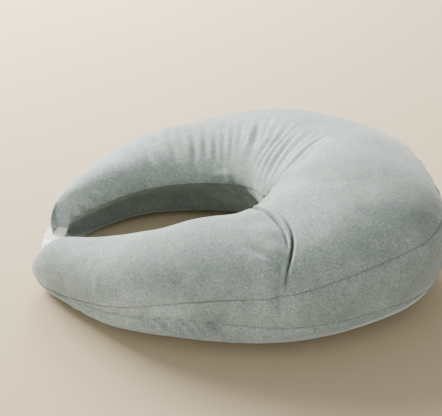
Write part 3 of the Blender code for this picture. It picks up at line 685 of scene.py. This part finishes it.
def simulate_cover():
    """Fill a coarse copy of the cover with air, its seams held, and return its ripples."""
    grid = make_grid(row_places(SIM_ROWS, SIM_TIP_ROWS), SIM_COLUMNS)
    rows, columns = grid.points.shape[:2]
    ends = np.array([grid.points[0].mean(axis=0), grid.points[-1].mean(axis=0)])
    points = np.concatenate([grid.points.reshape(-1, 3), ends])
    cover = make_mesh_object("filled_trial", points, ring_faces(rows, columns))
    held = cover.vertex_groups.new(name="seams")
    seam_columns = np.flatnonzero(grid.shares == 0)
    held.add([int(i * columns + j) for i in range(rows) for j in seam_columns], 1.0, "REPLACE")
    tips = [*range(columns), *range((rows - 1) * columns, rows * columns + 2)]
    held.add(tips, 1.0, "REPLACE")
    cloth = cover.modifiers.new("Filling", "CLOTH")
    cloth.settings.quality = SIM_QUALITY
    cloth.settings.use_pressure = True
    cloth.settings.uniform_pressure_force = SIM_PRESSURE
    cloth.settings.shrink_min = SIM_SHRINK
    cloth.settings.vertex_group_mass = held.name
    cloth.settings.effector_weights.gravity = 0.0
    cloth.point_cache.frame_end = SIM_FRAMES
    scene = bpy.context.scene
    for number in range(1, SIM_FRAMES + 1):
        scene.frame_set(number)
    filled = cover.evaluated_get(bpy.context.evaluated_depsgraph_get())
    moved = np.zeros(3 * len(filled.data.vertices))
    filled.data.vertices.foreach_get("co", moved)
    scene.frame_set(1)
    bpy.data.objects.remove(cover, do_unlink=True)
    shift = moved.reshape(-1, 3)[:-2].reshape(rows, columns, 3) - grid.points
    amount = np.einsum("ijk,ijk->ij", shift, normals(grid.points))
    amount = SIM_CAP * np.tanh(amount / SIM_CAP)
    kept = SIM_KEPT * closing(grid.places, SIM_TIP_FADE) ** 2
    kept *= 1 - SIM_CALM * np.exp(-((grid.places - SIM_CALM_PLACE) / SIM_CALM_REACH) ** 2)
    return grid, (amount - blur(amount, SIM_SMOOTHING)) * kept[:, None]


def spread_ripples(coarse, ripples, grid):
    """Carry the ripples of the coarse copy over to the fine grid."""
    rows = np.array([np.interp(grid.places, coarse.places, column) for column in ripples.T]).T
    round_coarse = np.append(coarse.panels + coarse.shares, len(PANEL_NAMES))
    closed = np.concatenate([rows, rows[:, :1]], axis=1)
    here = grid.panels + grid.shares
    fine = np.array([np.interp(here, round_coarse, row) for row in closed])
    return blur(fine, SIM_SOFTENING)


def end_seam(place, is_far, gap):
    """Inner and outer end of an arm's end seam, and the level direction out of the arm."""
    row = spline(np.array([place]))[0]
    outer, inner = row[:2], row[2:4]
    middle = (outer + inner) / 2
    half = (outer - inner) / 2 * TIP_WIDTH
    out = np.array([half[1], -half[0]]) * (-1 if is_far else 1)
    out /= np.linalg.norm(out)
    height = [row[4] * TIP_SEAM_SHARE]
    sides = (-STRAP_INNER_SHARE, STRAP_FAR_SHARE if is_far else STRAP_NEAR_SHARE)
    ends = [np.concatenate([middle + side * half + out * gap, height]) for side in sides]
    return ends[0], ends[1], np.append(out, 0.0)


def corner_ears(points):
    """Pull the cloth's corners out past the end seams."""
    for corner in CORNERS:
        row = -1 if corner.far else 0
        inner, outer, out = end_seam(float(LAST) if corner.far else 0.0, corner.far, 0.0)
        half = np.linalg.norm(points[row].max(axis=0) - points[row].min(axis=0)) / 2
        side = (outer - inner) / np.linalg.norm(outer - inner)
        offset = points - points[row].mean(axis=0) - side * half * corner.side
        beside, behind = offset @ side / corner.reach, offset @ out / CORNER_LENGTH
        points = points + corner.size * np.exp(-beside ** 2 - behind ** 2)[..., None] * out
    return points


def repeat_ends(field):
    """Repeat a field's first and last rows, for the rings of the two slits."""
    edge = len(SLIT_RINGS)
    return np.pad(field, ((edge, edge), (0, 0)), mode="edge")


def slit(ring, out):
    """Rings that close an end ring to a slit which lies a little inside the tip."""
    middle = ring.mean(axis=0)
    rings = []
    for share, sunk in SLIT_RINGS:
        closer = middle + (ring - middle) * np.array([SLIT_WIDTH, SLIT_WIDTH, share])
        rings.append(closer - out * sunk)
    return rings


def row_lengths(points):
    """Length of each column up to each row."""
    steps = np.linalg.norm(np.diff(points, axis=0), axis=2)
    return np.concatenate([np.zeros((1, points.shape[1])), np.cumsum(steps, axis=0)])


def make_cover(shift):
    """The cushion's cover: the form with its filling, seams, creases and puckers."""
    grid = make_grid(row_places(FINE_ROWS, FINE_TIP_ROWS), FINE_COLUMNS)
    out = normals(grid.points)
    relief, seam = seam_relief(grid)
    relief += pucker_relief(grid, row_lengths(grid.points))
    relief += lump_relief(grid.points) * closing(grid.places)[:, None]
    relief += spread_ripples(*simulate_cover(), grid)
    relief += wall_relief(grid)
    for swell in SWELLS:
        relief += swell_relief(grid, swell)
    # A narrow crease also adds its painted shade line to the seam marks
    for crease in CREASES:
        rows, deep, line = crease_relief(grid, out, crease)
        relief[rows] += deep
        seam[rows] = np.maximum(seam[rows], line)
    points = corner_ears(grid.points + out * relief[..., None])
    points[..., 2] = np.maximum(points[..., 2], 0)
    near_out, far_out = end_seam(0.0, False, 0.0)[2], end_seam(float(LAST), True, 0.0)[2]
    rings = np.array([*slit(points[0], near_out)[::-1], *points, *slit(points[-1], far_out)])
    ends = np.array([rings[0].mean(axis=0), rings[-1].mean(axis=0)])
    flat = np.concatenate([rings.reshape(-1, 3), ends]) + shift
    cover = make_mesh_object("pillow_cover", flat, ring_faces(*rings.shape[:2]))
    # Marks for the material: seam lines with the painted shade lines of narrow creases, the
    # brushed tone with painted light and shade, and the hole's wall, which gets painted shade
    seam, tone = repeat_ends(seam), repeat_ends(brushed_tone_and_painted_light(grid))
    wall = np.tile(grid.panels == PANEL_NAMES.index("inner"), len(rings))
    for name, values, at_ends in (("seam", seam, 1), ("brushed", tone, 0), ("wall", wall, 0)):
        marks = cover.data.attributes.new(name, "FLOAT", "POINT")
        values = np.append(values.ravel(), [at_ends, at_ends]).astype(np.float32)
        marks.data.foreach_set("value", values)
    cover.data.shade_smooth()
    return cover


# ---------------------------------------------------------------- the strap's shape
def strap_edge(start, start_lead, end, end_lead, sag):
    """A slack edge that leaves one end seam, bows out and enters the other, hanging down."""
    t = np.linspace(0, 1, STRAP_ROWS + 1)[:, None]
    s = 1 - t
    curve = s ** 3 * start + 3 * s * s * t * (start + start_lead)
    curve = curve + 3 * s * t * t * (end + end_lead) + t ** 3 * end
    return curve - np.sin(pi * t) ** 2 * np.array([0, 0, sag])


def make_strap(shift):
    """The white elastic: slack, a little cupped, its shorter inner edge rippled."""
    near_inner, near_outer, near_out = end_seam(0.0, False, -STRAP_TUCK)
    far_inner, far_outer, far_out = end_seam(float(LAST), True, -STRAP_TUCK)
    far_side = (far_outer - far_inner) / np.linalg.norm(far_outer - far_inner)
    inner = strap_edge(near_inner, near_out * STRAP_INNER_LEAD,
                       far_inner, far_out * STRAP_INNER_LEAD, STRAP_SAG_INNER)
    outer = strap_edge(near_outer, near_out * STRAP_NEAR_LEAD,
                       far_outer, far_out * STRAP_FAR_LEAD + far_side * STRAP_FAR_FLARE,
                       STRAP_SAG_OUTER)
    across = np.linspace(0, 1, STRAP_COLUMNS + 1)
    along = np.linspace(0, 1, STRAP_ROWS + 1)
    u, v = np.meshgrid(across, along)
    points = inner[:, None] * (1 - u[..., None]) + outer[:, None] * u[..., None]
    height = -STRAP_CUP * (1 - (2 * u - 1) ** 2)
    for share, turns, start in STRAP_WAVES:
        height += STRAP_RIPPLE * share * np.sin(2 * pi * (turns * v + start)) * (1 - u) ** 2
    for side, place, slant, spread in STRAP_FOLDS:
        height += STRAP_FOLD * side * np.exp(-((v - place - slant * u) / spread) ** 2)
    points[..., 2] += height * np.sin(pi * v) ** STRAP_EASE
    columns = STRAP_COLUMNS + 1
    faces = []
    for i in range(STRAP_ROWS):
        for j in range(STRAP_COLUMNS):
            k = i * columns + j
            faces.append((k, k + 1, k + columns + 1, k + columns))
    strap = make_mesh_object("tip_strap", points.reshape(-1, 3) + shift, faces)
    layer = strap.data.uv_layers.new(name="weave")
    for loop in strap.data.loops:
        row, column = divmod(loop.vertex_index, columns)
        layer.data[loop.index].uv = (column / STRAP_COLUMNS, row / STRAP_ROWS)
    solid = strap.modifiers.new("Thickness", "SOLIDIFY")
    solid.thickness = STRAP_THICKNESS
    solid.offset = 0.0
    apply_modifiers(strap)
    strap.data.shade_smooth()
    select_only(strap)
    bpy.ops.object.mode_set(mode="EDIT")
    bpy.ops.mesh.select_all(action="SELECT")
    bpy.ops.mesh.normals_make_consistent(inside=False)
    bpy.ops.object.mode_set(mode="OBJECT")
    return strap


def select_only(obj):
    """Make one object the only selected one, and the active one."""
    bpy.ops.object.select_all(action="DESELECT")
    obj.select_set(True)
    bpy.context.view_layer.objects.active = obj


def apply_modifiers(obj):
    """Apply all of an object's modifiers, in their order."""
    select_only(obj)
    for modifier in list(obj.modifiers):
        bpy.ops.object.modifier_apply(modifier=modifier.name)


# ---------------------------------------------------------------- materials
class Amount:
    """An output of a material's nodes, with which sums are written as in Python."""

    def __init__(self, finish, socket):
        self.finish = finish
        self.socket = socket

    def sum(self, operation, first, second):
        """A Math node on two amounts or numbers."""
        settings = {"operation": operation}
        return self.finish.node("ShaderNodeMath", settings, {0: first, 1: second})

    def __add__(self, other):
        return self.sum("ADD", self, other)

    def __sub__(self, other):
        return self.sum("SUBTRACT", self, other)

    def __rsub__(self, other):
        return self.sum("SUBTRACT", other, self)

    def __mul__(self, other):
        return self.sum("MULTIPLY", self, other)

    __radd__ = __add__
    __rmul__ = __mul__


class Finish:
    """A material with a Principled surface, and one way to add any other node to it."""

    def __init__(self, name, **constants):
        self.material = bpy.data.materials.new(name)
        self.material.use_nodes = True
        self.tree = self.material.node_tree
        self.surface = self.tree.nodes["Principled BSDF"]
        for key, value in constants.items():
            self.surface.inputs[key.replace("_", " ")].default_value = value

    def node(self, kind, settings, sockets, output=0):
        """Add a node: its settings first, then a value or a link for each socket."""
        node = self.tree.nodes.new(kind)
        for key, value in settings.items():
            setattr(node, key, value)
        for key, value in sockets.items():
            if isinstance(value, Amount):
                self.tree.links.new(value.socket, node.inputs[key])
            else:
                node.inputs[key].default_value = value
        return Amount(self, node.outputs[output])

    def feed(self, socket, amount):
        """Link an amount to a socket of the surface."""
        self.tree.links.new(amount.socket, self.surface.inputs[socket])

    def place(self):
        """Where a point lies on the piece."""
        return self.node("ShaderNodeTexCoord", {}, {}, "Object")

    def mark(self, name):
        """A value that each point of the piece's mesh has."""
        return self.node("ShaderNodeAttribute", {"attribute_name": name}, {}, "Fac")

    def noise(self, place, grain):
        """Noise of one grain, whose lumps are about its size across."""
        sockets = {"Vector": place, "Scale": 1.0 / grain.size, "Detail": grain.detail,
                   "Roughness": grain.roughness}
        return self.node("ShaderNodeTexNoise", {}, sockets)

    def step(self, amount, low, high):
        """Rises smoothly from 0 to 1 while the amount goes from low to high."""
        settings = {"interpolation_type": "SMOOTHSTEP"}
        return self.node("ShaderNodeMapRange", settings, {0: amount, 1: low, 2: high})

    def mix(self, factor, first, second):
        """One colour or another, by a factor."""
        colours = {6: first if isinstance(first, Amount) else (*first, 1.0),
                   7: second if isinstance(second, Amount) else (*second, 1.0)}
        return self.node("ShaderNodeMix", {"data_type": "RGBA"}, {0: factor, **colours}, 2)

    def bump(self, height, strength, distance, below=None):
        """Fine relief, on top of any other."""
        sockets = {"Strength": strength, "Distance": distance, "Height": height}
        if below is not None:
            sockets["Normal"] = below
        return self.node("ShaderNodeBump", {}, sockets)


def velvet():
    """Short-pile velvet: clouds where the pile lies over, fine flecks and a pale bloom, with
    painted shade on the hole's wall and in narrow creases, and painted light and shade in patches.
    """
    finish = Finish("sage_velvet", Metallic=0.0, Roughness=0.92, Sheen_Weight=0.43,
                    Sheen_Roughness=0.42, Sheen_Tint=(0.86, 0.93, 0.92, 1.0),
                    Specular_IOR_Level=0.25)
    place = finish.place()
    clouds = finish.step(finish.noise(place, CLOUDS), 0.30, 0.70)
    brushed = finish.step(finish.noise(place, BRUSHED), 0.30, 0.70)
    flecks = finish.noise(place, FLECKS)
    pile = finish.noise(place, PILE)
    tone = 0.5 + (clouds - 0.5) * CLOUDS.tone + (brushed - 0.5) * BRUSHED.tone
    # The brushed tone, which also holds painted light and shade in patches
    tone = tone + finish.mark("brushed")
    tone = tone + (flecks - 0.5) * FLECKS.tone + (pile - 0.5) * PILE.tone
    dark = finish.mix(finish.step(tone, 0.0, 0.5), VELVET_SHADE, VELVET_MIDDLE)
    cloth = finish.mix(finish.step(tone, 0.5, 1.0), dark, VELVET_LIGHT)
    # Painted shade: the hole's wall is mixed towards the dark seam colour
    cloth = finish.mix(finish.mark("wall") * WALL_PAINTED_SHADE, cloth, VELVET_SEAM_AND_SHADE)
    # Dark seam lines between panels, and painted shade lines in narrow creases
    line = finish.mark("seam") * (0.30 + brushed * 0.36)
    finish.feed("Base Color", finish.mix(line, cloth, VELVET_SEAM_AND_SHADE))
    soft = finish.bump(brushed, 0.35, 0.0006)
    finish.feed("Normal", finish.bump(flecks * 0.7 + pile * 0.5, 0.55, 0.0007, soft))
    return finish.material


def elastic():
    """White woven elastic, ribbed along its length and crossed by fine weft threads."""
    finish = Finish("white_elastic", Metallic=0.0, Roughness=0.72, Sheen_Weight=0.25,
                    Sheen_Roughness=0.5)
    place = finish.node("ShaderNodeUVMap", {"uv_map": "weave"}, {})
    ribs = {"Vector": place, "Scale": RIBS, "Distortion": 0.15}
    rib = finish.node("ShaderNodeTexWave", {"bands_direction": "X"}, ribs)
    wefts = {"Vector": place, "Scale": WEFTS, "Distortion": 0.4}
    weft = finish.node("ShaderNodeTexWave", {"bands_direction": "Y"}, wefts)
    fuzz = finish.noise(finish.place(), FUZZ)
    weave = rib * 0.6 + weft * 0.4
    tone = weave * (1 - FUZZ.tone) + fuzz * FUZZ.tone
    finish.feed("Base Color", finish.mix(tone, ELASTIC_SHADE, ELASTIC_LIGHT))
    finish.feed("Normal", finish.bump(weave + fuzz * 0.3, 0.5, 0.0004))
    return finish.material


def floor_finish():
    """Plain pale floor."""
    finish = Finish("pale_floor", Roughness=0.95, Specular_IOR_Level=0.2)
    finish.surface.inputs["Base Color"].default_value = (*FLOOR_COLOUR, 1.0)
    return finish.material


# ---------------------------------------------------------------- the stage
def make_stage():
    """The floor, the lamps and the light of the room."""
    bpy.ops.object.select_all(action="DESELECT")
    bpy.ops.mesh.primitive_plane_add(size=FLOOR_SIZE, location=(0, 0, 0))
    floor = bpy.context.active_object
    floor.name = "floor"
    floor.data.materials.append(floor_finish())
    for lamp in LAMPS:
        bpy.ops.object.light_add(type="AREA", location=lamp.place)
        light = bpy.context.active_object
        light.name = lamp.name
        light.data.size = lamp.size
        light.data.energy = lamp.power
        light.data.color = lamp.colour
        light.rotation_euler = (-Vector(lamp.place)).to_track_quat("-Z", "Y").to_euler()
    world = bpy.data.worlds.new("room")
    world.use_nodes = True
    room = world.node_tree.nodes["Background"]
    room.inputs["Color"].default_value = (*ROOM_COLOUR, 1.0)
    room.inputs["Strength"].default_value = ROOM_STRENGTH
    bpy.context.scene.world = world


def make_camera():
    """The camera at the photo's angle, looking down at the cushion from its near arm's side."""
    up, turn = radians(ELEVATION), radians(AZIMUTH)
    back = Vector((sin(turn) * cos(up), -cos(turn) * cos(up), sin(up)))
    bpy.ops.object.camera_add(location=Vector(TARGET) + back * DISTANCE)
    camera = bpy.context.active_object
    camera.rotation_euler = (-back).to_track_quat("-Z", "Y").to_euler()
    camera.data.sensor_width = SENSOR
    camera.data.lens = FOCAL_PIXELS / PHOTO_WIDTH * SENSOR
    bpy.context.scene.camera = camera


def cad_shift():
    """How far the CAD model lies from the section table's own origin, level with the floor."""
    grid = make_grid(row_places(PLAIN_ROWS, PLAIN_TIP_ROWS), PLAIN_COLUMNS)
    low, high = grid.points.min(axis=(0, 1)), grid.points.max(axis=(0, 1))
    box = np.array(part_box("pillow"))
    shift = (box[0] + box[1]) / 2 - (low + high) / 2
    return np.array([shift[0], shift[1], 0.0])


def main():
    """Build the cushion and its strap, and set the stage."""
    make_camera()
    shift = cad_shift()
    cover = make_cover(shift)
    cover.data.materials.append(velvet())
    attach(cover, "root")
    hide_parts("pillow")
    strap = make_strap(shift)
    strap.data.materials.append(elastic())
    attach(strap, "root")
    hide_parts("strap")
    make_stage()


main()
